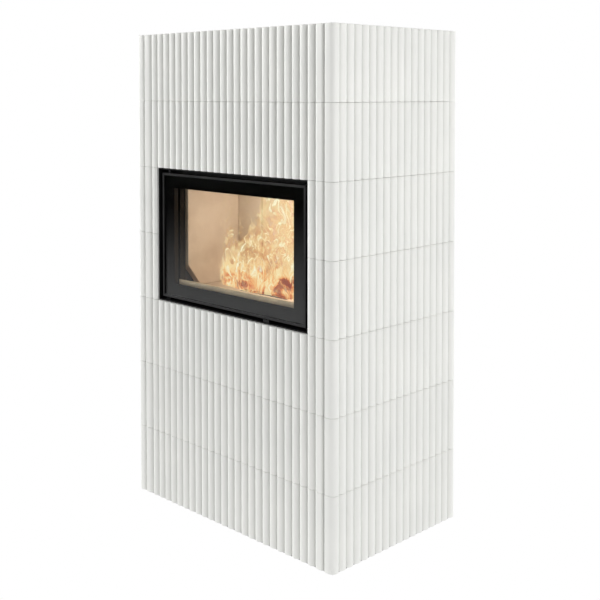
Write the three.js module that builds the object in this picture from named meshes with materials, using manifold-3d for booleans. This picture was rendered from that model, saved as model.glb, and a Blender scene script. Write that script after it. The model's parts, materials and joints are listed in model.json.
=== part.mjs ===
// A tall tiled stove: a shell of seven courses of reeded, glazed tiles around a steel fireplace insert with a glazed door.
// Millimetres. +Z is up, the door faces -Y, and the origin is on the floor under the middle of the bounding box.
import * as THREE from "three";
import { mergeVertices } from "three/addons/utils/BufferGeometryUtils.js";
import Module from "manifold-3d";

// ---------------------------------------------------------------- driving dimensions
const REED = 31.5; // pitch of the vertical reeds
const CREST = 5.5; // how far a reed's crest stands out of the face plane
const GROOVE = 3.5; // how far a groove lies behind the face plane
const COURSES = 7;
const COURSE_H = 219.5; // height of one course, its joint included
const JOINT = 1.2; // open joint between two courses
const HEIGHT = COURSES * COURSE_H;
const FRONT = -274.5; // face plane of the front
const BACK = 280;
const SIDE = 447.6; // face plane of the sides
const TILE_T = 36; // tile thickness behind the face plane
const FRONT_HALF = 413.5; // half width of a front tile
const SIDE_IN = 414.9; // inner face of the side tiles
const CORNER_R = 20; // radius of the rounded corner at the crests
const SIDE_GROOVE_1 = 57.3; // depth of the first full groove on the side
const OPEN_HALF = 348.5; // half width of the opening for the insert
const OPEN_LOW = 3 * COURSE_H;
const OPEN_HIGH = 5 * COURSE_H;
const GAP = 0.3; // clearance between pieces that rest on each other

const FRAME_HALF = OPEN_HALF - 1; // insert's front frame
const LIP = 3; // thickness of its lip
const PLATE_V = 49; // depth of its seat plate behind the groove plane
const MOUTH = { x: 292, low: 704, high: 1050 };

const DOOR = { x: 332, low: 673, high: 1081, front: 9, back: 38 };
const DOOR_RIM = 7.5; // width of the rim around the glass
const GLASS_V = 13;
const GLASS_T = 4;
const WINDOW = { x: 284, low: 713, high: 1040 }; // opening of the door's inner frame
const HINGE = { x: -318, v: 29, r: 4, bore: 4.4 };

const BODY = { x: 310, low: 620.3, high: 1180, front: 53.3, back: 345, t: 4 };
const HEARTH = { low: 684, high: 702.5 };
const LINING = { x: 275, t: 30, front: 72, back: 295, high: 1085 };
const GRATE = { x: 110, v0: 150, v1: 290 };
const FLUE = { v: 210, r: 75, t: 2 };
const ROUND = 32; // sides of a round tube

// ---------------------------------------------------------------- materials
const material = (color, roughness, metalness = 0, more = {}) =>
  new THREE.MeshStandardMaterial({ color, roughness, metalness, ...more });
const glaze = material(0xf2f3f0, 0.35);
const blackSteel = material(0x161616, 0.45, 0.6);
const darkSteel = material(0x3a3836, 0.5, 0.8);
const paleSteel = material(0xb9ad97, 0.35, 0.9);
const castIron = material(0x2b2a29, 0.7, 0.7);
const fireclay = material(0xd6b893, 0.9);
const stone = material(0x8e8c88, 0.85);
const concrete = material(0xb5b2ac, 0.9);
const zinc = material(0xa9abad, 0.45, 0.8);
const rope = material(0x4a4845, 0.95);
const glass = material(0x223033, 0.05, 0, { transparent: true, opacity: 0.35 });

// ---------------------------------------------------------------- solids
const wasm = await Module();
wasm.setup();

function bare(geometry) {
  const g = geometry.clone();
  for (const key of ["normal", "uv", "uv1"])
    if (g.getAttribute(key)) g.deleteAttribute(key);
  return mergeVertices(g, 1e-4);
}
function toManifold(geometry) {
  const g = bare(geometry);
  return new wasm.Manifold(
    new wasm.Mesh({
      numProp: 3,
      vertProperties: new Float32Array(g.getAttribute("position").array),
      triVerts: new Uint32Array(g.index.array),
    }),
  );
}
function toGeometry(solid) {
  const m = solid.getMesh();
  const n = m.numProp;
  const v = new Float32Array((m.vertProperties.length / n) * 3);
  for (let i = 0; i < v.length / 3; i++)
    v.set(m.vertProperties.subarray(i * n, i * n + 3), i * 3);
  return new THREE.BufferGeometry()
    .setAttribute("position", new THREE.BufferAttribute(v, 3))
    .setIndex(new THREE.BufferAttribute(new Uint32Array(m.triVerts), 1));
}
const join = (...gs) =>
  toGeometry(gs.map(toManifold).reduce((a, b) => a.add(b)));
const cut = (g, ...tools) =>
  toGeometry(tools.map(toManifold).reduce((a, b) => a.subtract(b), toManifold(g)));

// A box between two corners; v is the depth behind the front groove plane.
function box(x0, x1, v0, v1, z0, z1) {
  return new THREE.BoxGeometry(x1 - x0, v1 - v0, z1 - z0).translate(
    (x0 + x1) / 2,
    FRONT + (v0 + v1) / 2,
    (z0 + z1) / 2,
  );
}
// A flat ring in the plane of the front, between an outer and an inner rectangle.
function ring(outer, inner, v0, v1) {
  const shape = new THREE.Shape([
    new THREE.Vector2(-outer.x, outer.low),
    new THREE.Vector2(outer.x, outer.low),
    new THREE.Vector2(outer.x, outer.high),
    new THREE.Vector2(-outer.x, outer.high),
  ]);
  shape.holes.push(
    new THREE.Path([
      new THREE.Vector2(-inner.x, inner.low),
      new THREE.Vector2(-inner.x, inner.high),
      new THREE.Vector2(inner.x, inner.high),
      new THREE.Vector2(inner.x, inner.low),
    ]),
  );
  return new THREE.ExtrudeGeometry(shape, { depth: v1 - v0, bevelEnabled: false })
    .rotateX(Math.PI / 2)
    .translate(0, FRONT + v1, 0);
}
// A plan outline, given as [x, y] points, raised from z0 to z1.
function prism(points, z0, z1) {
  return new THREE.ExtrudeGeometry(
    new THREE.Shape(points.map(([x, y]) => new THREE.Vector2(x, y))),
    { depth: z1 - z0, bevelEnabled: false },
  ).translate(0, 0, z0);
}
// An outline in the plane of depth and height, given as [v, z] points, run from x0 to x1.
function across(points, x0, x1) {
  return new THREE.ExtrudeGeometry(
    new THREE.Shape(points.map(([v, z]) => new THREE.Vector2(FRONT + v, z))),
    { depth: x1 - x0, bevelEnabled: false },
  )
    .rotateX(Math.PI / 2)
    .rotateZ(Math.PI / 2)
    .translate(x0, 0, 0);
}
function upright(r, x, v, z0, z1, sides = 16) {
  return new THREE.CylinderGeometry(r, r, z1 - z0, sides)
    .rotateX(Math.PI / 2)
    .translate(x, FRONT + v, (z0 + z1) / 2);
}
// A round profile of [radius, z] points, closed on itself, turned about the flue's axis.
function turned(profile) {
  return new THREE.LatheGeometry(
    [...profile, profile[0]].map(([r, z]) => new THREE.Vector2(r, z)),
    ROUND,
  )
    .rotateX(Math.PI / 2)
    .translate(0, FRONT + FLUE.v, 0);
}

// ---------------------------------------------------------------- reeded outlines
// A reed is a round between two grooves: n flats, as [share along, height over the face plane] without the last groove.
function reed(n, w = REED) {
  const rise = (CREST + GROOVE) * Math.min(1, w / REED);
  const r = (w * w / 4 + rise * rise) / (2 * rise);
  const out = [];
  for (let i = 0; i < n; i++) {
    const u = (i / n - 0.5) * w;
    out.push([i / n, Math.sqrt(r * r - u * u) - (r - rise) - GROOVE]);
  }
  return out;
}
// The plan of a front tile or jamb tile between two x values, its face in grooves at every pitch from the middle.
// A reed at the tile's outer end is wider: its crest runs on flat and then rounds down.
function frontOutline(x0, x1) {
  const grooves = [];
  for (let k = -12; k <= 12; k++) {
    const g = k * REED;
    if (g > x0 + 8 && g < x1 - 8) grooves.push(g);
  }
  const points = [];
  const outer = [[0, -GROOVE], [0.6, -1], [2, 2], [4.5, 4.6], [8, CREST]];
  if (x0 === -FRONT_HALF) for (const [d, h] of outer) points.push([x0 + d, FRONT - h]);
  else grooves.unshift(x0);
  if (x1 !== FRONT_HALF) grooves.push(x1);
  if (x0 === -FRONT_HALF) for (const [s, h] of reed(4).slice(2)) points.push([grooves[0] + (s - 1) * REED, FRONT - h]);
  for (let i = 0; i < grooves.length - 1; i++) {
    const a = grooves[i];
    const w = grooves[i + 1] - a;
    for (const [s, h] of reed(4, w)) points.push([a + s * w, FRONT - (a === x0 ? Math.max(h, 0) : h)]);
  }
  if (x1 === FRONT_HALF) {
    const g = grooves[grooves.length - 1];
    for (const [s, h] of reed(4).slice(0, 3)) points.push([g + s * REED, FRONT - h]);
    for (const [d, h] of outer.reverse()) points.push([x1 - d, FRONT - h]);
  } else points.push([x1, FRONT]);
  points.push([x1, FRONT + TILE_T], [x0, FRONT + TILE_T]);
  return points;
}
// The plan of a right side tile: half a reed, the rounded corner, then the reeds back to the wall.
function sideOutline() {
  const points = [[SIDE_IN, FRONT + TILE_T]];
  const half = 11.3; // width of the half reed next to the front tile
  for (const s of [0, 0.2, 0.45, 0.7]) {
    const u = 1 - s;
    points.push([SIDE_IN + s * half, FRONT + GROOVE - (CREST + GROOVE) * Math.sqrt(1 - u * u)]);
  }
  const cx = SIDE + CREST - CORNER_R;
  const cy = FRONT - CREST + CORNER_R;
  points.push([SIDE_IN + half, FRONT - CREST]);
  for (let i = 0; i <= 6; i++) {
    const a = -Math.PI / 2 + (i / 6) * (Math.PI / 2);
    points.push([cx + CORNER_R * Math.cos(a), cy + CORNER_R * Math.sin(a)]);
  }
  const first = 25.8; // the groove behind the corner
  points.push([SIDE + CREST - 1.6, FRONT + 20], [SIDE + CREST - 5, FRONT + 24]);
  const grooves = [first];
  for (let v = SIDE_GROOVE_1; v < BACK - FRONT - 8; v += REED) grooves.push(v);
  for (let i = 0; i < grooves.length - 1; i++) {
    const w = grooves[i + 1] - grooves[i];
    for (const [s, h] of reed(4, w)) points.push([SIDE + h, FRONT + grooves[i] + s * w]);
  }
  // The last reed is cut behind its crest by the back.
  const g = grooves[grooves.length - 1];
  for (const [s, h] of reed(4).slice(0, 3)) points.push([SIDE + h, FRONT + g + s * REED]);
  points.push([SIDE + 3.2, BACK], [SIDE_IN, BACK]);
  return points.reverse();
}
const mirrored = (points) => points.map(([x, y]) => [-x, y]).reverse();

// ---------------------------------------------------------------- assembly
const stove = new THREE.Group();
const groups = {};
function group(name) {
  if (!groups[name]) {
    groups[name] = new THREE.Group();
    stove.add(groups[name]);
  }
  return groups[name];
}
function add(where, name, geometry, mat) {
  const mesh = new THREE.Mesh(geometry, mat);
  mesh.name = name;
  group(where).add(mesh);
  return mesh;
}

// The shell: courses are counted from the floor.
const right = sideOutline();
const left = mirrored(right);
for (let k = 0; k < COURSES; k++) {
  const z0 = k * COURSE_H + (k ? JOINT : 0);
  const z1 = (k + 1) * COURSE_H;
  if (k === 3 || k === 4) {
    add("shell", `front_jamb_left_${k + 1}`, prism(frontOutline(-FRONT_HALF, -OPEN_HALF), z0, z1), glaze);
    add("shell", `front_jamb_right_${k + 1}`, prism(frontOutline(OPEN_HALF, FRONT_HALF), z0, z1), glaze);
  } else {
    add("shell", `front_tile_${k + 1}`, prism(frontOutline(-FRONT_HALF, FRONT_HALF), z0, z1), glaze);
  }
  add("shell", `side_tile_left_${k + 1}`, prism(left, z0, z1), glaze);
  add("shell", `side_tile_right_${k + 1}`, prism(right, z0, z1), glaze);
}

// The carcass: base, stand, back, top.
const DEEP = BACK - FRONT; // full depth behind the groove plane
add("carcass", "base_slab", box(-413, 413, TILE_T + 0.5, DEEP - 4.5, 0, 40), concrete);
add("carcass", "stand_cheek_left", box(-300, -250, 70, 330, 40 + GAP, 600), concrete);
add("carcass", "stand_cheek_right", box(250, 300, 70, 330, 40 + GAP, 600), concrete);
add(
  "carcass",
  "stand_shelf",
  cut(box(-320, 320, 56, 350, 600 + GAP, 620), box(100, 236, 72, 128, 590, 630)),
  concrete,
);
add("carcass", "back_panel", box(-413, 413, DEEP - 4, DEEP, 0, 1526), zinc);
add(
  "carcass",
  "top_slab",
  cut(
    box(-413, 413, TILE_T + 0.5, DEEP - 4.5, 1500, 1526),
    upright(82, 0, FLUE.v, 1490, 1536, ROUND),
  ),
  concrete,
);
add("carcass", "storage_block_left", box(-300, -95, 90, 335, BODY.high + 0.5, 1470), stone);
add("carcass", "storage_block_right", box(95, 300, 90, 335, BODY.high + 0.5, 1470), stone);

// The flue: a collar on the firebox, a pipe, and a flanged collar in the top slab.
add(
  "flue",
  "flue_outlet_collar",
  turned([
    [FLUE.r + 0.8, BODY.high + GAP],
    [92, BODY.high + GAP],
    [92, BODY.high + 3],
    [FLUE.r + 3, BODY.high + 3],
    [FLUE.r + 3, BODY.high + 60],
    [FLUE.r + 0.8, BODY.high + 60],
  ]),
  darkSteel,
);
add(
  "flue",
  "flue_pipe",
  turned([
    [FLUE.r - FLUE.t, BODY.high + 5],
    [FLUE.r, BODY.high + 5],
    [FLUE.r, 1529],
    [FLUE.r - FLUE.t, 1529],
  ]),
  blackSteel,
);
add(
  "flue",
  "flue_top_collar",
  turned([
    [FLUE.r + 0.8, 1488],
    [FLUE.r + 3, 1488],
    [FLUE.r + 3, 1526 + GAP],
    [108, 1526 + GAP],
    [108, 1530.5],
    [FLUE.r + 0.8, 1530.5],
  ]),
  blackSteel,
);

// The firebox body: a welded steel box with a mouth, an air slot in front, air ports in its floor and a flue hole.
const inside = { x: BODY.x - BODY.t, low: BODY.low + BODY.t, high: BODY.high - BODY.t, front: BODY.front + BODY.t, back: BODY.back - BODY.t };
const ledge = (x0, x1, z1, v0, v1) => box(x0, x1, v0, v1, z1 - 7, z1);
add(
  "insert",
  "firebox_body",
  join(
    cut(
      box(-BODY.x, BODY.x, BODY.front, BODY.back, BODY.low, BODY.high),
      box(-inside.x, inside.x, inside.front, inside.back, inside.low, inside.high),
      box(-MOUTH.x - 0.5, MOUTH.x + 0.5, BODY.front - 1, inside.front + 1, MOUTH.low - 0.5, MOUTH.high + 0.5),
      box(100, 216, BODY.front - 1, inside.front + 1, 664, 672),
      box(113, 133, 84, 120, BODY.low - 1, inside.low + 1),
      box(158, 178, 84, 120, BODY.low - 1, inside.low + 1),
      box(203, 223, 84, 120, BODY.low - 1, inside.low + 1),
      upright(76, 0, FLUE.v, inside.high - 1, BODY.high + 1, ROUND),
    ),
    ledge(-inside.x - 1, -inside.x + 9, HEARTH.low - GAP, inside.front - 1, inside.back + 1),
    ledge(inside.x - 9, inside.x + 1, HEARTH.low - GAP, inside.front - 1, inside.back + 1),
    ledge(-inside.x - 1, -inside.x + 9, 1130, inside.front - 1, inside.back + 1),
    ledge(inside.x - 9, inside.x + 1, 1130, inside.front - 1, inside.back + 1),
  ),
  darkSteel,
);

// The insert's front frame: a lip around the opening, a seat plate for the door seal, a sleeve into the firebox, two hinge lugs.
const frameOut = { x: FRAME_HALF, low: OPEN_LOW + 1, high: OPEN_HIGH - 1 };
const frameIn = { x: frameOut.x - LIP, low: frameOut.low + LIP, high: frameOut.high - LIP };
const sleeveIn = { x: MOUTH.x - 4, low: MOUTH.low + 4, high: MOUTH.high - 4 };
const lug = (z0, z1) => box(HINGE.x - 11, HINGE.x + 11, HINGE.v - 8, PLATE_V + 1, z0, z1);
add(
  "insert",
  "insert_front_frame",
  cut(
    join(
      ring(frameOut, frameIn, 5, PLATE_V + 4),
      ring({ x: frameOut.x - 1, low: frameOut.low + 1, high: frameOut.high - 1 }, MOUTH, PLATE_V, PLATE_V + 4),
      ring({ x: MOUTH.x + 1, low: MOUTH.low - 1, high: MOUTH.high + 1 }, sleeveIn, PLATE_V, PLATE_V + 4),
      ring(MOUTH, sleeveIn, PLATE_V + 1, 71),
      lug(frameOut.low + 1, frameIn.low + 4),
      lug(frameIn.high - 4, frameOut.high - 1),
    ),
    box(100, 216, PLATE_V - 1, PLATE_V + 5, 664, 672),
    box(312.5, 329, PLATE_V - 1, PLATE_V + 5, 856, 899),
  ),
  blackSteel,
);

// The hearth, the grate that lifts out of it, and the ash pan under the grate.
add(
  "insert",
  "hearth_plate",
  cut(
    box(-inside.x + 0.5, inside.x - 0.5, inside.front + 0.5, inside.back - 0.5, HEARTH.low, HEARTH.high),
    box(-GRATE.x, GRATE.x, GRATE.v0, GRATE.v1, HEARTH.high - 11, HEARTH.high + 1),
    box(-GRATE.x + 10, GRATE.x - 10, GRATE.v0 + 10, GRATE.v1 - 10, HEARTH.low - 1, HEARTH.high),
  ),
  fireclay,
);
const slots = [];
for (let i = 0; i < 9; i++) {
  const x = -88 + i * 22;
  slots.push(box(x - 4.5, x + 4.5, GRATE.v0 + 14, GRATE.v1 - 14, HEARTH.high - 20, HEARTH.high + 5));
}
add(
  "grate",
  "ash_grate",
  cut(
    box(-GRATE.x + 0.6, GRATE.x - 0.6, GRATE.v0 + 0.6, GRATE.v1 - 0.6, HEARTH.high - 10.7, HEARTH.high - 0.7),
    ...slots,
  ),
  castIron,
);
add(
  "insert",
  "ash_pan",
  cut(
    box(-95, 95, GRATE.v0 + 15, GRATE.v1 - 15, inside.low + 0.5, 672),
    box(-93, 93, GRATE.v0 + 17, GRATE.v1 - 17, inside.low + 2.5, 680),
  ),
  darkSteel,
);

// The fire-clay lining: side walls with the lower front corner cut off, and a back wall of four upright plates.
const wall = [
  [LINING.front, HEARTH.high + 72],
  [LINING.front + 53, HEARTH.high + GAP],
  [LINING.back - GAP, HEARTH.high + GAP],
  [LINING.back - GAP, LINING.high],
  [LINING.front, LINING.high],
];
add("insert", "lining_left", across(wall, -LINING.x - LINING.t, -LINING.x), fireclay);
add("insert", "lining_right", across(wall, LINING.x, LINING.x + LINING.t), fireclay);
[
  [-305, -165],
  [-152, -2],
  [2, 152],
  [165, 305],
].forEach(([x0, x1], i) =>
  add(
    "insert",
    `lining_back_${i + 1}`,
    box(x0, x1, LINING.back, LINING.back + LINING.t, HEARTH.high + GAP, LINING.high),
    fireclay,
  ),
);
add("insert", "baffle_lower", box(-300, 300, 135, 326, LINING.high + GAP, LINING.high + 25), fireclay);
add("insert", "baffle_upper", box(-303, 303, 60, 250, 1130 + GAP, 1150), fireclay);

// The log retainer: one bent strip that stands on the hearth and comes forward through the mouth.
add(
  "insert",
  "log_retainer",
  across(
    [
      [33, 716],
      [84, 716],
      [84, HEARTH.high + GAP],
      [87, HEARTH.high + GAP],
      [87, 719],
      [36, 719],
      [36, 733],
      [33, 733],
    ],
    -274,
    274,
  ),
  paleSteel,
);

// The air control: the lever in the gap under the door, and the slide over the ports in the firebox floor.
add(
  "air",
  "air_lever",
  join(
    box(155, 181, 8, 20, 663.2, 671.5),
    box(163, 173, 19, 106, 665.5, 670.5),
    box(163, 173, 98, 106, inside.low + 3.8, 670.5),
  ),
  blackSteel,
);
add(
  "air",
  "air_slide",
  cut(
    box(103, 233, 76, 128, inside.low + 0.5, inside.low + 3.5),
    box(113, 133, 84, 120, inside.low - 1, inside.low + 5),
    box(178 + 25, 198 + 25, 84, 120, inside.low - 1, inside.low + 5),
    box(158, 178, 84, 94, inside.low - 1, inside.low + 5),
  ),
  darkSteel,
);

// The hinge pins stand in the lugs, above and below the door.
add("insert", "hinge_pin_lower", upright(HINGE.r, HINGE.x, HINGE.v, frameIn.low + 4 + GAP, 697), zinc);
add("insert", "hinge_pin_upper", upright(HINGE.r, HINGE.x, HINGE.v, 1057, frameIn.high - 4 - GAP), zinc);

// The roller catch behind the seat plate, beside the door's free edge.
const ROLLER = { x0: 313.5, x1: 322.5, v: 62, z: 893, r: 7.5 };
const sideways = (r, x0, x1, sides = 16) =>
  new THREE.CylinderGeometry(r, r, x1 - x0, sides)
    .rotateZ(Math.PI / 2)
    .translate((x0 + x1) / 2, FRONT + ROLLER.v, ROLLER.z);
add("catch", "catch_roller", cut(sideways(ROLLER.r, ROLLER.x0, ROLLER.x1), sideways(2.4, ROLLER.x0 - 1, ROLLER.x1 + 1)), zinc);
add(
  "insert",
  "catch_bracket",
  join(
    box(323.2, 327, PLATE_V + 4 + GAP, 74, 878, 912),
    sideways(2, 311.5, 324),
    box(311, 327, PLATE_V + 4 + GAP, 58, 904, 912),
  ),
  darkSteel,
);

// ---------------------------------------------------------------- the door
const doorOut = { x: DOOR.x, low: DOOR.low, high: DOOR.high };
const grow = (o, d) => ({ x: o.x + d, low: o.low - d, high: o.high + d });
const bore = () => [
  upright(HINGE.bore, HINGE.x, HINGE.v, DOOR.low - 5, 705),
  upright(HINGE.bore, HINGE.x, HINGE.v, 1049, DOOR.high + 5),
];
add(
  "door",
  "door_frame",
  cut(
    join(
      ring(doorOut, grow(doorOut, -DOOR_RIM), DOOR.front, GLASS_V - GAP),
      ring(doorOut, grow(doorOut, -3), GLASS_V - 1, DOOR.back),
    ),
    ...bore(),
  ),
  blackSteel,
);
const pane = grow(doorOut, -3.6);
add("door", "door_glass", box(-pane.x, pane.x, GLASS_V, GLASS_V + GLASS_T, pane.low, pane.high), glass);
add(
  "door",
  "glass_gasket",
  ring(grow(doorOut, -5), { x: 300, low: 700, high: 1052 }, GLASS_V + GLASS_T + GAP, 20),
  rope,
);
add("door", "door_inner_frame", cut(ring(pane, WINDOW, 20 + GAP, DOOR.back), ...bore()), blackSteel);
add(
  "door",
  "door_seal",
  ring({ x: 312, low: 685, high: 1069 }, { x: 301, low: 696, high: 1058 }, DOOR.back + GAP, PLATE_V - GAP),
  rope,
);
add("door", "catch_striker", box(314.5, 321.5, DOOR.back + GAP, 67, 870, 885), zinc);

export default stove;
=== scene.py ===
import bpy
import bmesh
import json
import math
import random
from mathutils import Vector, Matrix


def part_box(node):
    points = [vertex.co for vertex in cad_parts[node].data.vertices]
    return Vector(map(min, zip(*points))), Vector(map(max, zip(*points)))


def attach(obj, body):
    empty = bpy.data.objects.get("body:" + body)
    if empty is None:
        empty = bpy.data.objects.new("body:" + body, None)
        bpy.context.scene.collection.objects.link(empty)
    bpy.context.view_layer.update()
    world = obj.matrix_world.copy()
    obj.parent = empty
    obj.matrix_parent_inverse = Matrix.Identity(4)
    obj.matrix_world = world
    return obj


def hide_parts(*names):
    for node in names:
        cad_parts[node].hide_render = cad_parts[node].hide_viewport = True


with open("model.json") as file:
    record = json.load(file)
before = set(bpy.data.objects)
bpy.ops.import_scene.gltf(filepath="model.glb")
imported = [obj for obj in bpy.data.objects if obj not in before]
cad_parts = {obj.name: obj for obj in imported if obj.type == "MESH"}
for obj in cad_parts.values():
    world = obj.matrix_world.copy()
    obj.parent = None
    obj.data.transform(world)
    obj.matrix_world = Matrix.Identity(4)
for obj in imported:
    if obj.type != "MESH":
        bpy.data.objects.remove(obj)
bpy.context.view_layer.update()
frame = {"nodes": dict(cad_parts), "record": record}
nodes = frame["nodes"]
scene = bpy.context.scene
rng = random.Random(7)

# ------------------------------------------------------------------ sizes, in metres, as in the CAD model
REED = 0.0315
CREST = 0.0055
FRONT = -0.2745
BACK = 0.280
SIDE = 0.4476
TILE_T = 0.036
FRONT_HALF = 0.4135
SIDE_IN = 0.4149
OPEN_HALF = 0.3485
COURSE = 0.2195
JOINT = 0.0012
CLEAR = {"x": 0.278, "low": 0.7195, "high": 1.0335}  # the glass inside its printed border


def at(v):
    """The Y of a depth v behind the front's face plane."""
    return FRONT + v


# ------------------------------------------------------------------ camera
cam_data = bpy.data.cameras.new("camera")
cam = bpy.data.objects.new("camera", cam_data)
scene.collection.objects.link(cam)
cam_data.sensor_width = 36.0
cam_data.lens = 60.799
cam_data.shift_x = -0.0103
cam_data.shift_y = -0.2860
cam.location = (2.3505, -2.3032, 1.3435)
cam.rotation_euler = (math.radians(88.0), 0.0, math.radians(44.692))
scene.camera = cam

# ------------------------------------------------------------------ material helpers


class Mat:
    """A node material with a Principled surface and short calls for the usual nodes."""

    def __init__(self, name):
        self.m = bpy.data.materials.new(name)
        self.m.use_nodes = True
        self.t = self.m.node_tree
        self.t.nodes.clear()
        self.out = self.t.nodes.new("ShaderNodeOutputMaterial")
        self.b = self.t.nodes.new("ShaderNodeBsdfPrincipled")
        self.t.links.new(self.b.outputs[0], self.out.inputs[0])
        self.coords = None

    def set(self, **kw):
        for k, v in kw.items():
            self.b.inputs[k.replace("_", " ")].default_value = v
        return self

    def link(self, a, b):
        self.t.links.new(a, b)

    def point(self):
        if self.coords is None:
            n = self.t.nodes.new("ShaderNodeTexCoord")
            self.coords = n.outputs["Object"]
        return self.coords

    def scaled(self, scale, rotate=(0, 0, 0), move=(0, 0, 0)):
        n = self.t.nodes.new("ShaderNodeMapping")
        n.inputs["Scale"].default_value = scale
        n.inputs["Rotation"].default_value = rotate
        n.inputs["Location"].default_value = move
        self.link(self.point(), n.inputs[0])
        return n.outputs[0]

    def mapped(self, vector, scale, seed=0.0):
        n = self.t.nodes.new("ShaderNodeMapping")
        n.inputs["Scale"].default_value = scale
        n.inputs["Location"].default_value = (seed * 1.7, seed * 0.9, seed * 1.3)
        self.link(vector, n.inputs[0])
        return n.outputs[0]

    def noise(self, scale, detail=3.0, rough=0.5, distortion=0.0, vector=None, out="Fac"):
        n = self.t.nodes.new("ShaderNodeTexNoise")
        n.inputs["Scale"].default_value = scale
        n.inputs["Detail"].default_value = detail
        n.inputs["Roughness"].default_value = rough
        n.inputs["Distortion"].default_value = distortion
        self.link(vector if vector is not None else self.point(), n.inputs["Vector"])
        return n.outputs[out]

    def voronoi(self, scale, feature="F1", vector=None, out="Distance"):
        n = self.t.nodes.new("ShaderNodeTexVoronoi")
        n.feature = feature
        n.inputs["Scale"].default_value = scale
        self.link(vector if vector is not None else self.point(), n.inputs["Vector"])
        return n.outputs[out]

    def ramp(self, fac, stops, mode="LINEAR"):
        n = self.t.nodes.new("ShaderNodeValToRGB")
        n.color_ramp.interpolation = mode
        e = n.color_ramp.elements
        while len(e) > 1:
            e.remove(e[-1])
        e[0].position, e[0].color = stops[0][0], tint(stops[0][1])
        for p, c in stops[1:]:
            x = e.new(p)
            x.color = tint(c)
        self.link(fac, n.inputs[0])
        return n.outputs[0]

    def mix(self, fac, a, b, blend="MIX"):
        n = self.t.nodes.new("ShaderNodeMix")
        n.data_type = "RGBA"
        n.blend_type = blend
        for sock, v in ((n.inputs[0], fac), (n.inputs[6], a), (n.inputs[7], b)):
            if isinstance(v, bpy.types.NodeSocket):
                self.link(v, sock)
            elif sock == n.inputs[0]:
                sock.default_value = v
            else:
                sock.default_value = tint(v)
        return n.outputs[2]

    def math(self, op, a, b=0.0, c=0.0, clamp=False):
        n = self.t.nodes.new("ShaderNodeMath")
        n.operation = op
        n.use_clamp = clamp
        for i, v in enumerate((a, b, c)):
            if isinstance(v, bpy.types.NodeSocket):
                self.link(v, n.inputs[i])
            else:
                n.inputs[i].default_value = v
        return n.outputs[0]

    def span(self, v, a, b, c=0.0, d=1.0, smooth=False):
        n = self.t.nodes.new("ShaderNodeMapRange")
        n.interpolation_type = "SMOOTHSTEP" if smooth else "LINEAR"
        n.inputs["From Min"].default_value = a
        n.inputs["From Max"].default_value = b
        n.inputs["To Min"].default_value = c
        n.inputs["To Max"].default_value = d
        self.link(v, n.inputs["Value"])
        return n.outputs[0]

    def attribute(self, name):
        n = self.t.nodes.new("ShaderNodeAttribute")
        n.attribute_name = name
        return n.outputs["Fac"]

    def xyz(self, vector=None):
        n = self.t.nodes.new("ShaderNodeSeparateXYZ")
        self.link(vector if vector is not None else self.point(), n.inputs[0])
        return n.outputs

    def bump(self, height, strength, distance=0.001, after=None):
        n = self.t.nodes.new("ShaderNodeBump")
        n.inputs["Strength"].default_value = strength
        n.inputs["Distance"].default_value = distance
        self.link(height, n.inputs["Height"])
        if after is not None:
            self.link(after, n.inputs["Normal"])
        return n.outputs[0]

    def base(self, v):
        self.link(v, self.b.inputs["Base Color"])
        return self

    def rough(self, v):
        self.link(v, self.b.inputs["Roughness"])
        return self

    def normal(self, v):
        self.link(v, self.b.inputs["Normal"])
        return self


def tint(c):
    if isinstance(c, (int, float)):
        return (c, c, c, 1.0)
    return tuple(c) if len(c) == 4 else (*c, 1.0)


def srgb(r, g, b):
    return tuple(
        (x / 255 / 12.92) if x / 255 <= 0.04045 else ((x / 255 + 0.055) / 1.055) ** 2.4
        for x in (r, g, b)
    )


# ------------------------------------------------------------------ materials


def glaze():
    m = Mat("white_glaze").set(Roughness=0.33, IOR=1.5)
    groove = m.attribute("groove")
    tone = m.attribute("tone")
    cloud = m.noise(5.0, 4.0, 0.55)
    fine = m.noise(60.0, 3.0, 0.5)
    white = m.ramp(cloud, [(0.3, (0.798, 0.803, 0.774)), (0.7, (0.842, 0.843, 0.810))])
    # Darker towards the grooves and the joints: partly glaze pooled thick there, partly painted shade in the grooves.
    pooled_glaze_and_shade = m.mix(m.math("MULTIPLY", m.math("POWER", groove, 2.0), 0.7), white, (0.50, 0.51, 0.50))
    toned = m.mix(m.span(tone, 0.0, 1.0, 0.0, 0.05), pooled_glaze_and_shade, (0.78, 0.775, 0.75))
    m.base(toned)
    m.rough(m.span(fine, 0.3, 0.7, 0.28, 0.38))
    m.normal(m.bump(m.noise(240.0, 2.0, 0.5), 0.05, 0.0004, m.bump(cloud, 0.04, 0.004)))
    return m.m


def fireclay():
    m = Mat("fire_clay").set(Roughness=0.9)
    z = m.xyz()[2]
    cloud = m.noise(9.0, 5.0, 0.6)
    speck = m.noise(420.0, 2.0, 0.6)
    pits = m.voronoi(260.0)
    sand = m.ramp(cloud, [(0.28, (0.56, 0.445, 0.325)), (0.5, (0.65, 0.535, 0.405)), (0.75, (0.72, 0.610, 0.475))])
    grains = m.mix(m.span(speck, 0.45, 0.8, 0.0, 0.35), sand, (0.36, 0.25, 0.16))
    soot = m.math("MULTIPLY", m.span(z, 0.96, 1.09, 0.0, 0.28, True), m.span(cloud, 0.35, 0.65, 0.3, 1.0))
    m.base(m.mix(soot, grains, (0.12, 0.10, 0.085)))
    m.normal(m.bump(pits, 0.25, 0.0006, m.bump(speck, 0.35, 0.0005)))
    return m.m


def black_paint(name, base=0.018, low=0.42, high=0.55, spec=0.4):
    m = Mat(name).set(Roughness=0.5, Specular_IOR_Level=spec)
    grain = m.noise(900.0, 2.0, 0.6)
    cloud = m.noise(14.0, 4.0, 0.55)
    m.base(m.ramp(cloud, [(0.3, (base, base, base * 1.05)), (0.7, (base * 1.35, base * 1.35, base * 1.4))]))
    m.rough(m.span(cloud, 0.3, 0.7, low, high))
    m.normal(m.bump(grain, 0.10, 0.0002))
    return m.m


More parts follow.
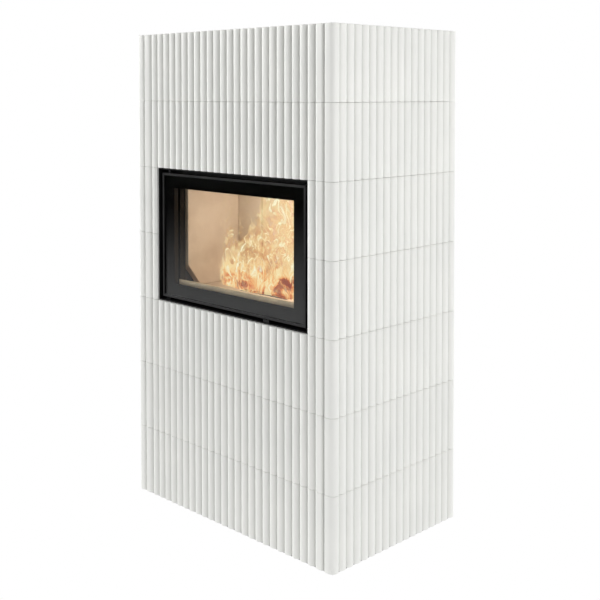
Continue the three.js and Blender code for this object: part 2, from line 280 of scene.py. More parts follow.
def steel(name, color, low=0.3, high=0.45, brushed=(0, 0, 1), metal=1.0):
    m = Mat(name).set(Metallic=metal)
    stretch = [900.0, 900.0, 900.0]
    for i, k in enumerate(brushed):
        if k:
            stretch[i] = 8.0
    lines = m.noise(1.0, 3.0, 0.6, vector=m.scaled(stretch))
    cloud = m.noise(18.0, 4.0, 0.55)
    darker = tuple(c * 0.8 for c in color)
    m.base(m.mix(m.span(cloud, 0.3, 0.75), color, darker))
    m.rough(m.span(lines, 0.3, 0.7, low, high))
    m.normal(m.bump(lines, 0.12, 0.0002))
    return m.m


def zinc_sheet():
    m = Mat("zinc_sheet").set(Metallic=0.85)
    spangle = m.voronoi(55.0, out="Color")
    fac = m.math("MULTIPLY", m.xyz(spangle)[0], 1.0)
    cloud = m.noise(6.0, 4.0, 0.6)
    m.base(m.mix(m.span(fac, 0.0, 1.0, 0.0, 0.5), (0.50, 0.51, 0.52), (0.40, 0.41, 0.43)))
    m.rough(m.span(cloud, 0.3, 0.7, 0.38, 0.52))
    m.normal(m.bump(fac, 0.03, 0.0005))
    return m.m


def concrete():
    m = Mat("cast_concrete").set(Roughness=0.85)
    cloud = m.noise(7.0, 6.0, 0.6)
    fine = m.noise(180.0, 4.0, 0.65)
    pores = m.voronoi(120.0)
    grey = m.ramp(cloud, [(0.3, (0.40, 0.395, 0.38)), (0.7, (0.52, 0.515, 0.50))])
    m.base(m.mix(m.span(pores, 0.0, 0.12, 0.6, 0.0), m.mix(m.span(fine, 0.4, 0.7, 0.0, 0.25), grey, (0.33, 0.325, 0.31)), (0.20, 0.195, 0.19)))
    m.normal(m.bump(m.span(pores, 0.0, 0.15), 0.3, 0.0008, m.bump(fine, 0.3, 0.0008)))
    return m.m


def storage_stone():
    m = Mat("storage_stone").set(Roughness=0.75)
    cloud = m.noise(12.0, 7.0, 0.65, 0.6)
    fine = m.noise(300.0, 3.0, 0.6)
    m.base(m.ramp(cloud, [(0.3, (0.16, 0.165, 0.17)), (0.55, (0.24, 0.24, 0.235)), (0.75, (0.34, 0.335, 0.32))]))
    m.normal(m.bump(fine, 0.3, 0.0006))
    return m.m


def seal_rope():
    m = Mat("seal_rope").set(Roughness=0.95, Sheen_Weight=0.15)
    n = m.t.nodes.new("ShaderNodeTexWave")
    n.wave_type = "BANDS"
    n.bands_direction = "DIAGONAL"
    n.inputs["Scale"].default_value = 90.0
    n.inputs["Distortion"].default_value = 1.5
    n.inputs["Detail"].default_value = 2.0
    m.link(m.point(), n.inputs["Vector"])
    braid = n.outputs["Fac"]
    m.base(m.ramp(braid, [(0.2, (0.035, 0.033, 0.031)), (0.8, (0.12, 0.115, 0.11))]))
    m.normal(m.bump(braid, 0.6, 0.0008))
    return m.m


def cast_iron():
    m = Mat("cast_iron").set(Roughness=0.7, Metallic=0.5)
    fine = m.noise(320.0, 4.0, 0.65)
    cloud = m.noise(25.0, 4.0, 0.6)
    m.base(m.ramp(cloud, [(0.3, (0.035, 0.033, 0.032)), (0.7, (0.085, 0.075, 0.066))]))
    m.normal(m.bump(fine, 0.5, 0.0008))
    return m.m


def stove_glass():
    m = Mat("stove_glass").set(Base_Color=(0.98, 0.985, 0.975, 1.0), Roughness=0.0, IOR=1.45, Transmission_Weight=1.0)
    smear = m.noise(7.0, 3.0, 0.55)
    m.rough(m.span(smear, 0.55, 0.8, 0.0, 0.02))
    return m.m


def print_black():
    m = Mat("black_print").set(Specular_IOR_Level=0.05)
    cloud = m.noise(30.0, 2.0, 0.5)
    m.base(m.ramp(cloud, [(0.3, (0.0006, 0.0006, 0.0007)), (0.7, (0.0010, 0.0010, 0.0011))]))
    m.rough(m.span(m.noise(600.0, 2.0), 0.3, 0.7, 0.3, 0.4))
    return m.m


GLAZE = glaze()
CLAY = fireclay()
FRAME_BLACK = black_paint("frame_black", 0.004, 0.36, 0.46, 0.22)
DOOR_BLACK = black_paint("door_black", 0.005, 0.28, 0.38, 0.35)
FLUE_BLACK = black_paint("flue_black", 0.03, 0.55, 0.7, 0.3)
BODY_GREY = black_paint("firebox_grey", 0.042, 0.5, 0.65, 0.25)
RETAINER = steel("retainer_steel", (0.80, 0.66, 0.45), 0.40, 0.55, (1, 0, 0), 0.6)
PIN = steel("pin_steel", (0.60, 0.60, 0.61), 0.22, 0.35, (0, 0, 1))
# A much darker copy of the pin steel for the upper hinge pin: painted shade.
SHADED_PIN = steel("shaded_pin_steel", (0.10, 0.10, 0.11), 0.35, 0.5, (0, 0, 1))
SHEET = steel("sheet_steel", (0.45, 0.46, 0.47), 0.35, 0.5, (1, 0, 0))
ZINC = zinc_sheet()
CONCRETE = concrete()
STORAGE = storage_stone()
ROPE = seal_rope()
IRON = cast_iron()
GLASS = stove_glass()
PRINT = print_black()

# ------------------------------------------------------------------ mesh helpers


def new_object(name, mesh, material, body, slot_name, *replaced):
    o = bpy.data.objects.new(name, mesh)
    scene.collection.objects.link(o)
    mesh.materials.clear()
    mesh.materials.append(material)
    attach(o, body)
    if replaced:
        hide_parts(*replaced)
    return o


def sharpen(bm, degrees):
    limit = math.radians(degrees)
    for f in bm.faces:
        f.smooth = True
    for e in bm.edges:
        if len(e.link_faces) == 2:
            e.smooth = e.calc_face_angle(0.0) < limit
        else:
            e.smooth = False


def body_of(node):
    for body, members in frame["record"]["behaviour"]["bodies"].items():
        if node in members:
            return body
    raise ValueError(node)


def refined(node, material, slot_name, width=0.0012, segments=3, degrees=28, name=None):
    """The CAD node's shape with its flat faces merged and its edges rounded."""
    bm = bmesh.new()
    bm.from_mesh(nodes[node].data)
    bmesh.ops.remove_doubles(bm, verts=bm.verts, dist=1e-6)
    bmesh.ops.dissolve_limit(bm, angle_limit=math.radians(0.5), verts=bm.verts, edges=bm.edges)
    hard = [e for e in bm.edges if len(e.link_faces) == 2 and e.calc_face_angle(0.0) > math.radians(degrees)]
    bmesh.ops.bevel(bm, geom=hard, offset=width, segments=segments, affect="EDGES", profile=0.5, clamp_overlap=True, harden_normals=False)
    bmesh.ops.recalc_face_normals(bm, faces=bm.faces)
    sharpen(bm, 35)
    mesh = bpy.data.meshes.new(name or node + "_fine")
    bm.to_mesh(mesh)
    bm.free()
    o = new_object(name or node + "_fine", mesh, material, body_of(node), slot_name, node)
    even = o.modifiers.new("even shading", "WEIGHTED_NORMAL")
    even.keep_sharp = True
    even.weight = 80
    return o


def lathe(name, profile, centre, axis="Z", steps=96, closed=True):
    """Turns [radius, height] points about an upright or sideways axis through centre."""
    bm = bmesh.new()
    rings = []
    for i in range(steps):
        a = 2 * math.pi * i / steps
        ring = []
        for r, h in profile:
            if axis == "Z":
                p = (centre[0] + r * math.cos(a), centre[1] + r * math.sin(a), centre[2] + h)
            else:
                p = (centre[0] + h, centre[1] + r * math.cos(a), centre[2] + r * math.sin(a))
            ring.append(bm.verts.new(p))
        rings.append(ring)
    n = len(profile)
    for i in range(steps):
        a, b = rings[i], rings[(i + 1) % steps]
        for j in range(n if closed else n - 1):
            k = (j + 1) % n
            bm.faces.new((a[j], b[j], b[k], a[k]))
    if not closed:
        bm.faces.new([r[0] for r in rings])
        bm.faces.new([r[-1] for r in reversed(rings)])
    bmesh.ops.recalc_face_normals(bm, faces=bm.faces)
    sharpen(bm, 35)
    mesh = bpy.data.meshes.new(name)
    bm.to_mesh(mesh)
    bm.free()
    return mesh


# ------------------------------------------------------------------ the reeded tiles

REED_STEPS = 20
GROOVE = 0.0035  # how far a groove lies behind the face plane
NOTCH = 0.0006  # depth of the narrow line between two reeds, below the groove
NOTCH_HALF = 0.0005


def reed_height(u, width):
    """Height over the face plane at the distance u from the crest's middle."""
    rise = (CREST + GROOVE) * min(1.0, width / REED)
    r = (width * width / 4 + rise * rise) / (2 * rise)
    return math.sqrt(max(r * r - u * u, 0.0)) - (r - rise) - GROOVE


def reed_profile(width, start=0.0, end=1.0, notch=True):
    """[(share across, height, closeness to a groove)] of one reed: a round between two narrow grooves."""
    out = [(0.0, -GROOVE - NOTCH, 1.0)] if notch else []
    edge = NOTCH_HALF / width
    for i in range(REED_STEPS + 1):
        t = i / REED_STEPS
        s = 0.35 * (0.5 - 0.5 * math.cos(math.pi * t)) + 0.65 * t
        s = edge + (1 - 2 * edge) * s
        if start - 1e-6 <= s <= end + 1e-6:
            out.append((s, reed_height((s - 0.5) * width, width), abs(2 * s - 1) ** 8))
    return out


# a reed at the tile's outer end: its crest runs on flat and then rounds down, as (distance from the end, height)
OUTER = [(0.0, -0.0035), (0.0002, -0.0022), (0.0006, -0.0008), (0.0012, 0.0006), (0.0020, 0.0019), (0.0030, 0.0032),
         (0.0042, 0.0042), (0.0056, 0.0050), (0.0072, 0.0054), (0.0090, 0.0055), (0.0110, 0.0055)]


def front_points(x0, x1):
    grooves = [k * REED for k in range(-12, 13) if x0 + 0.008 < k * REED < x1 - 0.008]
    pts = []
    if x0 == -FRONT_HALF:
        pts += [(x0 + d, FRONT - h, max(0.0, 1.0 - d / 0.0025)) for d, h in OUTER]
        pts += [(grooves[0] + (s - 1) * REED, FRONT - h, g) for s, h, g in reed_profile(REED, start=0.5, notch=False)]
    else:
        grooves.insert(0, x0)
    if x1 != FRONT_HALF:
        grooves.append(x1)
    for a, b in zip(grooves, grooves[1:]):
        w = b - a
        low = 0.0 if a == x0 or b == x1 else -1.0
        for s, h, g in reed_profile(w, notch=a > x0):
            pts.append((a + s * w, FRONT - (max(h, low) if (s < 0.5) == (a == x0) else h), g))
    if x1 == FRONT_HALF:
        pts += [(grooves[-1] + s * REED, FRONT - h, g) for s, h, g in reed_profile(REED, end=0.5)]
        pts += [(x1 - d, FRONT - h, max(0.0, 1.0 - d / 0.0025)) for d, h in reversed(OUTER)]
    pts.append((x1, FRONT + TILE_T, 0.0))
    pts.append((x0, FRONT + TILE_T, 0.0))
    return pts


def side_points():
    crest = SIDE + CREST
    pts = [(SIDE_IN, FRONT + TILE_T, 0.0), (SIDE_IN, FRONT + GROOVE, 1.0)]
    for i in range(1, 12):
        s = (i / 12) ** 1.5
        h = (CREST + GROOVE) * math.sqrt(1 - (1 - s) ** 2)
        pts.append((SIDE_IN + s * 0.0113, FRONT + GROOVE - h, max(0.0, 1.0 - s * 0.0113 / 0.0012)))
    r = 0.020
    cx, cy = crest - r, FRONT - CREST + r
    for i in range(21):
        a = -math.pi / 2 + i / 20 * math.pi / 2
        pts.append((cx + r * math.cos(a), cy + r * math.sin(a), 0.0))
    for v, h in ((0.0166, 0.0001), (0.0182, 0.0005), (0.0197, 0.0012), (0.0212, 0.0023), (0.0226, 0.0037), (0.0238, 0.0053), (0.0248, 0.0070), (0.0254, 0.0083)):
        pts.append((crest - h, FRONT + v, max(0.0, (h - 0.004) / 0.005)))
    grooves = [0.0258]
    v = 0.0573
    while v < BACK - FRONT - 0.008:
        grooves.append(v)
        v += REED
    for a, b in zip(grooves, grooves[1:]):
        w = b - a
        for s, h, g in reed_profile(w):
            pts.append((SIDE + h, FRONT + a + s * w, g))
    end = (BACK - FRONT - grooves[-1] - 0.0004) / REED
    for s, h, g in reed_profile(REED, end=end):
        pts.append((SIDE + h, FRONT + grooves[-1] + s * REED, g))
    pts.append((SIDE + reed_height((end - 0.5) * REED, REED), BACK, 0.5))
    pts.append((SIDE_IN, BACK, 0.0))
    return pts


def tile(name, pts, z0, z1, index):
    """Raises a plan outline to a tile whose upper and lower edges are rounded over."""
    n = len(pts)
    area = sum(pts[i][0] * pts[(i + 1) % n][1] - pts[(i + 1) % n][0] * pts[i][1] for i in range(n))
    if area < 0:
        pts = pts[::-1]
    inward = []
    for i in range(n):
        x, y, _ = pts[i]
        ax, ay, _ = pts[i - 1]
        bx, by, _ = pts[(i + 1) % n]
        t1 = Vector((x - ax, y - ay)).normalized()
        t2 = Vector((bx - x, by - y)).normalized()
        n1, n2 = Vector((-t1.y, t1.x)), Vector((-t2.y, t2.x))
        m = n1 + n2
        m = m.normalized() if m.length > 1e-6 else n1
        k = max(0.5, m.dot(n1))
        inward.append(m / k)
    r = 0.0013
    levels = []
    for d in (0, 22, 45, 68, 90):
        a = math.radians(d)
        levels.append((z0 + r * (1 - math.cos(a)), r * (1 - math.sin(a))))
    levels += [(z1 - (z - z0), inset) for z, inset in reversed(levels)]
    bm = bmesh.new()
    groove = bm.verts.layers.float.new("groove")
    tone = bm.verts.layers.float.new("tone")
    t = (index * 0.37) % 1.0
    rings = []
    for z, inset in levels:
        ring = []
        for i in range(n):
            x, y, g = pts[i]
            v = bm.verts.new((x + inward[i].x * inset, y + inward[i].y * inset, z))
            v[groove] = g
            v[tone] = t
            ring.append(v)
        rings.append(ring)
    for a, b in zip(rings, rings[1:]):
        for i in range(n):
            k = (i + 1) % n
            bm.faces.new((a[i], a[k], b[k], b[i]))
    bm.faces.new(list(reversed(rings[0])))
    bm.faces.new(rings[-1])
    bmesh.ops.recalc_face_normals(bm, faces=bm.faces)
    sharpen(bm, 42)
    mesh = bpy.data.meshes.new(name + "_reeded")
    bm.to_mesh(mesh)
    bm.free()
    return new_object(name + "_reeded", mesh, GLAZE, "stove", "glaze", name)


right = side_points()
left = [(-x, y, g) for x, y, g in right]
count = 0
for k in range(7):
    z0 = k * COURSE + (JOINT * 0.5 if k else 0.0)
    z1 = (k + 1) * COURSE
    if k in (3, 4):
        tile(f"front_jamb_left_{k + 1}", front_points(-FRONT_HALF, -OPEN_HALF), z0, z1, count)
        tile(f"front_jamb_right_{k + 1}", front_points(OPEN_HALF, FRONT_HALF), z0, z1, count + 3)
    else:
        tile(f"front_tile_{k + 1}", front_points(-FRONT_HALF, FRONT_HALF), z0, z1, count)
    tile(f"side_tile_left_{k + 1}", left, z0, z1, count + 1)
    tile(f"side_tile_right_{k + 1}", right, z0, z1, count + 2)
    count += 5

# ------------------------------------------------------------------ the insert, the door and the inner pieces
refined("insert_front_frame", FRAME_BLACK, "black_frame", 0.0007, 2)
refined("door_frame", DOOR_BLACK, "door_black", 0.0009, 3)
refined("door_inner_frame", FRAME_BLACK, "door_black", 0.0012, 2)
refined("door_glass", GLASS, "door_glass", 0.0006, 2)
refined("glass_gasket", ROPE, "seal_rope", 0.0006, 2)
refined("log_retainer", RETAINER, "retainer_steel", 0.0005, 2)
refined("air_lever", FRAME_BLACK, "black_frame", 0.0012, 3)
refined("air_slide", SHEET, "sheet_steel", 0.0004, 2)
refined("firebox_body", BODY_GREY, "firebox_steel", 0.0008, 2)
for n in ("lining_left", "lining_right", "lining_back_1", "lining_back_2", "lining_back_3", "lining_back_4"):
    refined(n, CLAY, "fireclay", 0.0022, 3)
for n in ("hearth_plate", "baffle_lower", "baffle_upper"):
    refined(n, CLAY, "fireclay", 0.0015, 2)
refined("ash_grate", IRON, "grate_iron", 0.0009, 2)
refined("ash_pan", SHEET, "sheet_steel", 0.0004, 2)
for n in ("base_slab", "stand_cheek_left", "stand_cheek_right", "stand_shelf", "top_slab"):
    refined(n, CONCRETE, "concrete", 0.0025, 3)
for n in ("storage_block_left", "storage_block_right"):
    refined(n, STORAGE, "storage_stone", 0.0025, 3)
refined("back_panel", ZINC, "sheet_steel", 0.0006, 2)
refined("catch_bracket", SHEET, "sheet_steel", 0.0004, 2)
refined("catch_striker", PIN, "pin_steel", 0.0015, 3)


def ring_mesh(name, outer, inner, y0, y1):
    """A flat rectangular ring in the plane of the front; outer and inner are (half width, low, high)."""
    bm = bmesh.new()
    loops = []
    for x, low, high in (outer, inner):
        for y in (y0, y1):
            loops.append([bm.verts.new(c) for c in ((-x, y, low), (x, y, low), (x, y, high), (-x, y, high))])
    of, ob, nf, nb = loops
    for i in range(4):
        k = (i + 1) % 4
        bm.faces.new((of[i], of[k], nf[k], nf[i]))
        bm.faces.new((ob[k], ob[i], nb[i], nb[k]))
        bm.faces.new((of[k], of[i], ob[i], ob[k]))
        bm.faces.new((nf[i], nf[k], nb[k], nb[i]))
    bmesh.ops.recalc_face_normals(bm, faces=bm.faces)
    mesh = bpy.data.meshes.new(name)
    bm.to_mesh(mesh)
    bm.free()
    return mesh


# The black print on the back of the pane, around the clear window.
new_object(
    "glass_print",
    ring_mesh("glass_print", (0.3280, 0.6770, 1.0770), (CLEAR["x"], CLEAR["low"], CLEAR["high"]), at(0.01704), at(0.01724)),
    PRINT, "door", "door_black",
)


def seal(name, half, low, high, r, y, corner=0.006, sides=14):
    """A round rope laid in a rectangle with small corner turns."""
    path = []
    cx, cz = half - corner, 0.0
    for sx, zc, start in ((1, high - corner, 0), (-1, high - corner, 90), (-1, low + corner, 180), (1, low + corner, 270)):
        for j in range(6):
            a = math.radians(start + 18 * j)
            path.append(((sx * cx) + corner * math.cos(a), zc + corner * math.sin(a)))
    pts = []
    m = len(path)
    for i in range(m):
        a, b = Vector(path[i]), Vector(path[(i + 1) % m])
        steps = max(1, int((b - a).length / 0.004))
        for j in range(steps):
            pts.append(a + (b - a) * j / steps)
    bm = bmesh.new()
    rings = []
    count = len(pts)
    for i, p in enumerate(pts):
        d = (pts[(i + 1) % count] - pts[i - 1]).normalized()
        nrm = Vector((-d.y, d.x))
        ring = []
        for j in range(sides):
            a = 2 * math.pi * j / sides
            rr = r * (1 + 0.035 * math.sin(i * 1.9 + j * 0.9))
            q = p + nrm * (rr * math.cos(a))
            ring.append(bm.verts.new((q.x, y + rr * math.sin(a) * 0.93, q.y)))
        rings.append(ring)
    for i in range(count):
        a, b = rings[i], rings[(i + 1) % count]
        for j in range(sides):
            k = (j + 1) % sides
            bm.faces.new((a[j], b[j], b[k], a[k]))
    bmesh.ops.recalc_face_normals(bm, faces=bm.faces)
    for f in bm.faces:
        f.smooth = True
    mesh = bpy.data.meshes.new(name)
    bm.to_mesh(mesh)
    bm.free()
    return mesh


lo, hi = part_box("door_seal")
new_object(
    "door_seal_rope",
    seal("door_seal_rope", hi.x - 0.0055, lo.z + 0.0055, hi.z - 0.0055, 0.0054, (lo.y + hi.y) / 2),
    ROPE, "door", "seal_rope", "door_seal",
)

# Turned pieces.
for n in ("hinge_pin_lower", "hinge_pin_upper"):
    lo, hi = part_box(n)
    c = (lo + hi) / 2
    r, h = (hi.x - lo.x) / 2, (hi.z - lo.z) / 2
    # The upper pin gets the darker copy of the pin steel, painted shade on it. The lower pin keeps the plain steel.
    new_object(
        n + "_turned",
        lathe(n + "_turned", [(0.0004, -h), (r - 0.001, -h), (r, -h + 0.001), (r, h - 0.001), (r - 0.001, h), (0.0004, h)], c, "Z", 48, False),
        SHADED_PIN if n == "hinge_pin_upper" else PIN, "stove", "pin_steel", n,
    )
lo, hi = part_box("catch_roller")
c = (lo + hi) / 2
r, h = (hi.z - lo.z) / 2, (hi.x - lo.x) / 2
new_object(
    "catch_roller_turned",
    lathe("catch_roller_turned", [(0.0024, -h), (r - 0.0012, -h), (r - 0.0002, -h + 0.001), (r, 0.0), (r - 0.0002, h - 0.001), (r - 0.0012, h), (0.0024, h)], c, "X", 64),
    PIN, "catch_roller", "pin_steel", "catch_roller",
)
FLUE = Vector((0.0, at(0.210), 0.0))
new_object(
    "flue_pipe_round",
    lathe("flue_pipe_round", [(0.0731, 1.1852), (0.0748, 1.1852), (0.0748, 1.5285), (0.0744, 1.5289), (0.0735, 1.5289), (0.0731, 1.5285)], FLUE, "Z", 128),
    FLUE_BLACK, "stove", "flue_steel", "flue_pipe",
)
new_object(
    "flue_outlet_collar_round",
    lathe("flue_outlet_collar_round", [(0.0758, 1.1804), (0.0915, 1.1804), (0.0920, 1.1810), (0.0920, 1.1826), (0.0915, 1.1830), (0.0782, 1.1830), (0.0780, 1.1834), (0.0780, 1.2396), (0.0776, 1.2400), (0.0758, 1.2400)], FLUE, "Z", 128),
    BODY_GREY, "stove", "flue_steel", "flue_outlet_collar",
)
new_object(
    "flue_top_collar_round",
    lathe("flue_top_collar_round", [(0.0758, 1.4884), (0.0778, 1.4884), (0.0778, 1.5259), (0.0782, 1.5263), (0.1074, 1.5263), (0.1080, 1.5269), (0.1080, 1.5298), (0.1073, 1.5305), (0.0768, 1.5305), (0.0758, 1.5296)], FLUE, "Z", 160),
    FLUE_BLACK, "stove", "flue_steel", "flue_top_collar",
)

# ------------------------------------------------------------------ the fire: contents of the stove, not a part of it
LUMPS = [  # across, height, half width, half height, share
    (-0.186, 0.748, 0.026, 0.040, 1.0), (-0.130, 0.765, 0.046, 0.052, 1.0), (-0.060, 0.775, 0.060, 0.062, 1.0),
    (0.010, 0.780, 0.065, 0.072, 1.0), (0.080, 0.790, 0.070, 0.085, 1.0), (0.150, 0.780, 0.050, 0.075, 1.0),
    (-0.050, 0.850, 0.045, 0.036, 0.75), (0.020, 0.880, 0.050, 0.050, 0.7), (0.095, 0.910, 0.050, 0.070, 0.8),
    (0.130, 0.975, 0.040, 0.050, 0.7), (0.020, 0.975, 0.020, 0.045, 0.5), (-0.172, 0.862, 0.009, 0.040, 0.7),
    (-0.190, 0.815, 0.012, 0.020, 0.6),
]
DARK = [  # darker places: across, height, half width, half height, share
    (0.112, 0.752, 0.022, 0.012, 1.0), (0.060, 0.728, 0.020, 0.010, 0.45), (-0.010, 0.778, 0.012, 0.010, 0.45),
    (-0.100, 0.722, 0.020, 0.009, 0.45), (0.000, 0.830, 0.020, 0.024, 0.3),
]


def share_at(spots, x, z):
    total = 0.0
    for cx, cz, w, h, share in spots:
        d = ((x - cx) / w) ** 2 + ((z - cz) / h) ** 2
        total += share * math.exp(-0.5 * d * d * 0.35)
    return min(1.0, total)


def flame_material():
    k = Mat("flame")
    k.t.nodes.remove(k.b)
    amount = k.attribute("fire_amount")
    core = k.attribute("fire_core")
    dark = k.attribute("fire_dark")

    def shifted(p, scale, reach, seed):
        n = k.noise(scale, 2.0, 0.5, vector=k.mapped(p, (1.0, 1.0, 0.75), seed), out="Color")
        v = k.t.nodes.new("ShaderNodeVectorMath")
        v.operation = "MULTIPLY_ADD"
        k.link(n, v.inputs[0])
        v.inputs[1].default_value = (reach, reach, reach)
        v.inputs[2].default_value = (-reach / 2,) * 3
        w = k.t.nodes.new("ShaderNodeVectorMath")
        w.operation = "ADD"
        k.link(p, w.inputs[0])
        k.link(v.outputs[0], w.inputs[1])
        return w.outputs[0]

    p = shifted(k.point(), 9.0, 0.16, 0.0)
    p = shifted(p, 26.0, 0.070, 3.0)
    swirl = k.noise(15.0, 1.0, 0.4, vector=k.mapped(p, (1.0, 1.0, 0.7), 5.0))
    nest = k.math("MULTIPLY_ADD", k.math("SINE", k.math("MULTIPLY", swirl, 46.0)), 0.5, 0.5)
    lines = k.math("POWER", nest, 3.6)
    patch = k.span(k.noise(21.0, 2.0, 0.5, vector=k.mapped(p, (1.0, 1.0, 0.8), 9.0)), 0.38, 0.62, 0.0, 1.0, True)
    body = k.span(k.noise(24.0, 4.0, 0.6, vector=k.mapped(p, (1.0, 1.0, 0.8), 2.0)), 0.36, 0.64, 0.0, 1.0, True)
    thread = k.math("MULTIPLY", lines, k.math("MULTIPLY_ADD", patch, 0.7, 0.3))
    edge = k.span(k.math("ADD", amount, k.math("MULTIPLY_ADD", body, 0.7, -0.35)), 0.25, 0.75, 0.0, 1.0, True)
    dense = k.span(k.math("ADD", core, k.math("MULTIPLY_ADD", body, 0.8, -0.4)), 0.25, 0.85, 0.0, 0.80, True)
    heat = k.math("MULTIPLY_ADD", body, 0.60, k.math("MULTIPLY", thread, 0.60))
    heat = k.math("MULTIPLY_ADD", core, 0.06, heat)
    heat = k.math("MULTIPLY_ADD", dark, -0.75, heat, clamp=True)
    colour = k.ramp(heat, [(0.0, srgb(150, 78, 62)), (0.10, srgb(228, 122, 70)), (0.26, srgb(245, 176, 110)), (0.46, srgb(253, 212, 150)), (0.72, srgb(255, 234, 178)), (1.0, srgb(255, 249, 214))])
    emit = k.t.nodes.new("ShaderNodeEmission")
    k.link(colour, emit.inputs[0])
    emit.inputs[1].default_value = 1.0
    clear = k.t.nodes.new("ShaderNodeBsdfTransparent")
    mixer = k.t.nodes.new("ShaderNodeMixShader")
    cover = k.math("MULTIPLY", edge, k.math("MULTIPLY_ADD", body, 0.42, k.math("MULTIPLY", thread, 0.62)), clamp=True)
    cover = k.math("MAXIMUM", cover, dense)
    k.link(cover, mixer.inputs[0])
    k.link(clear.outputs[0], mixer.inputs[1])
    k.link(emit.outputs[0], mixer.inputs[2])
    k.link(mixer.outputs[0], k.out.inputs[0])
    return k.m


FLAME = flame_material()


def flame_sheet(name, y, bow, spread, shift):
    """An upright bowed sheet of fire across the fire box."""
    bm = bmesh.new()
    amount = bm.verts.layers.float.new("fire_amount")
    core = bm.verts.layers.float.new("fire_core")
    dark = bm.verts.layers.float.new("fire_dark")
    nx, nz = 90, 80
    grid = []
    for i in range(nx + 1):
        col = []
        for j in range(nz + 1):
            x = -0.240 + 0.48 * i / nx
            z = 0.704 + 0.345 * j / nz
            q = bm.verts.new((x, y + bow * (x / 0.235) ** 2 + 0.006 * math.sin(30 * x + 18 * z + shift), z))
            u = x * spread + shift * 0.01
            q[amount] = share_at(LUMPS, u, z)
            q[core] = q[amount] * min(1.0, max(0.0, (0.835 - z) / 0.10))
            q[dark] = share_at(DARK, u, z)
            col.append(q)
        grid.append(col)
    for i in range(nx):
        for j in range(nz):
            bm.faces.new((grid[i][j], grid[i + 1][j], grid[i + 1][j + 1], grid[i][j + 1])).smooth = True
    mesh = bpy.data.meshes.new(name)
    bm.to_mesh(mesh)
    bm.free()
    mesh.materials.append(FLAME)
    o = bpy.data.objects.new(name, mesh)
    scene.collection.objects.link(o)
    o.visible_shadow = False
    return o


flame_sheet("fire_1", at(0.205), 0.010, 1.00, -0.9)
flame_sheet("fire_2", at(0.175), 0.014, 1.00, 1.1)
flame_sheet("fire_3", at(0.150), 0.018, 1.02, 0.4)


def light(name, kind, place, energy, colour=(1, 1, 1), size=0.2, size_y=None, aim=None, spread=None):
    d = bpy.data.lights.new(name, kind)
    d.energy = energy
    d.color = colour
    if kind == "AREA":
        d.shape = "RECTANGLE"
        d.size = size
        d.size_y = size_y or size
        if spread:
            d.spread = math.radians(spread)
    else:
        d.shadow_soft_size = size
    o = bpy.data.objects.new(name, d)
    scene.collection.objects.link(o)
    o.location = place
    o.visible_camera = False
    o.visible_glossy = False
    o.visible_transmission = False
    if aim is not None:
        o.rotation_euler = (Vector(aim) - Vector(place)).to_track_quat("-Z", "Y").to_euler()
    return o


WARM = (1.0, 0.96, 0.94)
light("glow_low", "POINT", (0.08, at(0.165), 0.800), 0.5, WARM, 0.05)
light("glow_high", "POINT", (0.05, at(0.145), 0.930), 0.85, WARM, 0.06)
light("glow_back", "POINT", (-0.04, at(0.155), 0.985), 0.56, WARM, 0.05)
light("glow_corner", "POINT", (-0.11, at(0.180), 0.940), 0.13, WARM, 0.04)

# ------------------------------------------------------------------ floor, world and lights
bm = bmesh.new()
bmesh.ops.create_circle(bm, cap_ends=True, cap_tris=False, segments=96, radius=2.9)
mesh = bpy.data.meshes.new("floor")
bm.to_mesh(mesh)
bm.free()
floor = bpy.data.objects.new("floor", mesh)
scene.collection.objects.link(floor)
floor.location = (0.0, 0.3, -0.0005)
fm = Mat("pale_floor").set(Base_Color=(0.0, 0.0, 0.0, 1.0), Roughness=1.0, Specular_IOR_Level=0.0, Emission_Color=(1.0, 1.0, 1.0, 1.0))
fx, fy, _ = fm.xyz()
# Painted contact shadow: the floor's glow falls to nothing in a thin band, a few millimetres wide, round the stove's
# footprint.
near_x = fm.math("SUBTRACT", fm.math("ABSOLUTE", fx), 0.4448)
near_y = fm.math("SUBTRACT", fm.math("ABSOLUTE", fm.math("ADD", fy, 0.3)), 0.2718)
fm.link(fm.span(fm.math("MAXIMUM", near_x, near_y), -0.001, 0.004, 0.0, 1.0, True), fm.b.inputs["Emission Strength"])
mesh.materials.append(fm.m)

world = bpy.data.worlds.new("studio")
scene.world = world
world.use_nodes = True
wt = world.node_tree
wt.nodes.clear()


def wnode(kind, **inputs):
    n = wt.nodes.new(kind)
    for k, v in inputs.items():
        k = int(k[1:]) if k[0] == "i" and k[1:].isdigit() else k.replace("_", " ")
        if isinstance(v, bpy.types.NodeSocket):
            wt.links.new(v, n.inputs[k])
        else:
            n.inputs[k].default_value = v
    return n


def wmath(op, a, b=0.0, c=0.0, clamp=False):
    n = wnode("ShaderNodeMath", i0=a, i1=b, i2=c)
    n.operation = op
    n.use_clamp = clamp
    return n.outputs[0]


def wspan(v, a, b, c, d, smooth=False):
    n = wnode("ShaderNodeMapRange", Value=v, From_Min=a, From_Max=b, To_Min=c, To_Max=d)
    n.interpolation_type = "SMOOTHSTEP" if smooth else "LINEAR"
    return n.outputs[0]


# The soft light round the stove: its strength every 30 degrees from the back over the left side, the front and the
# right side to the back again, once at the horizon and once at 40 degrees above it, and one value overhead.
ROUND_LOW = [1.26, 0.51, 0.15, 1.90, 4.30, 3.50, 0.0, 0.0, 0.53, 3.60, 0.48, 0.52, 1.26]
ROUND_HIGH = [0.84, 0.47, 0.30, 1.45, 3.40, 1.50, 0.0, 0.0, 0.0, 2.65, 0.84, 0.64, 0.84]
OVERHEAD = 0.0
REACH = 8.0  # the ramps hold shares of this

direction = wnode("ShaderNodeTexCoord").outputs["Generated"]
unit = wt.nodes.new("ShaderNodeVectorMath")
unit.operation = "NORMALIZE"
wt.links.new(direction, unit.inputs[0])
dx, dy, dz = wnode("ShaderNodeSeparateXYZ", i0=unit.outputs[0]).outputs
turn = wmath("MULTIPLY_ADD", wmath("ARCTAN2", dx, wmath("MULTIPLY", dy, -1.0)), 0.5 / math.pi, 0.5)
rise = wmath("ARCSINE", dz)


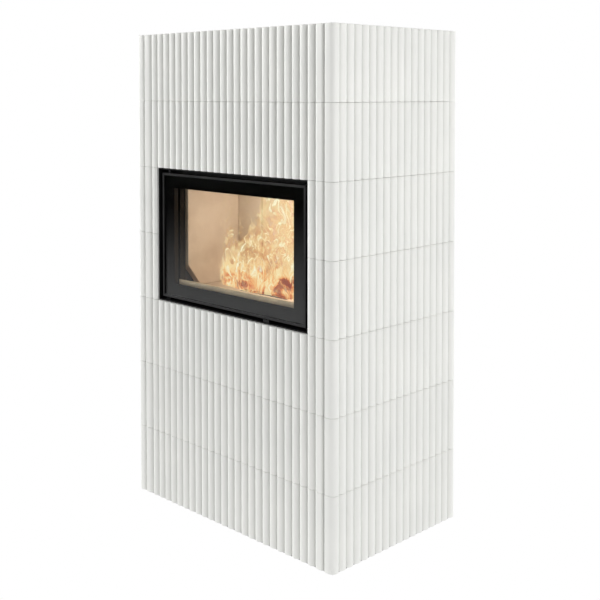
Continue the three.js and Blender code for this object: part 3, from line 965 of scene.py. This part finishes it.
def round_ramp(values):
    n = wt.nodes.new("ShaderNodeValToRGB")
    e = n.color_ramp.elements
    while len(e) > 1:
        e.remove(e[-1])
    for i, v in enumerate(values):
        x = e[0] if i == 0 else e.new(i / (len(values) - 1))
        x.position = i / (len(values) - 1)
        x.color = (v / REACH, v / REACH, v / REACH, 1.0)
    wt.links.new(turn, n.inputs[0])
    return n.outputs[0]


low_band = round_ramp(ROUND_LOW)
high_band = round_ramp(ROUND_HIGH)
to_high = wspan(rise, 0.0, math.radians(40), 0.0, 1.0)
to_top = wspan(rise, math.radians(40), math.radians(85), 0.0, 1.0)
mix_low = wmath("ADD", wmath("MULTIPLY", low_band, wmath("SUBTRACT", 1.0, to_high)), wmath("MULTIPLY", high_band, to_high))
studio = wmath("MULTIPLY", wmath("MULTIPLY_ADD", to_top, OVERHEAD / REACH, wmath("MULTIPLY", mix_low, wmath("SUBTRACT", 1.0, to_top))), REACH)

# Low down on the front left the room is dark, so the glass shows only the floor, fading upwards.
across = wmath("ADD", wmath("MULTIPLY", dx, -0.755), wmath("MULTIPLY", dy, -0.656))
window = wspan(across, math.cos(math.radians(26)), math.cos(math.radians(16)), 0.0, 1.0, True)
band = wmath("MULTIPLY", wspan(rise, math.radians(-14), math.radians(-6), 0.84, 1.0, True), wspan(rise, math.radians(2), math.radians(14), 1.0, 0.0, True))
band = wmath("MULTIPLY", band, wspan(rise, math.radians(-55), math.radians(-35), 0.0, 1.0, True))
studio = wmath("MULTIPLY", studio, wmath("SUBTRACT", 1.0, wmath("MULTIPLY", window, band)))

light_bg = wnode("ShaderNodeBackground", Strength=studio)
plain_bg = wnode("ShaderNodeBackground", Strength=1.0)
light_bg.inputs["Color"].default_value = (1, 1, 1, 1)
plain_bg.inputs["Color"].default_value = (1, 1, 1, 1)
seen = wt.nodes.new("ShaderNodeLightPath").outputs["Is Camera Ray"]
chosen = wnode("ShaderNodeMixShader", i0=seen, i1=light_bg.outputs[0], i2=plain_bg.outputs[0])
wt.links.new(chosen.outputs[0], wnode("ShaderNodeOutputWorld").inputs[0])

scene.view_settings.view_transform = "Standard"
scene.view_settings.look = "None"
scene.view_settings.exposure = 0.0
scene.view_settings.gamma = 1.0
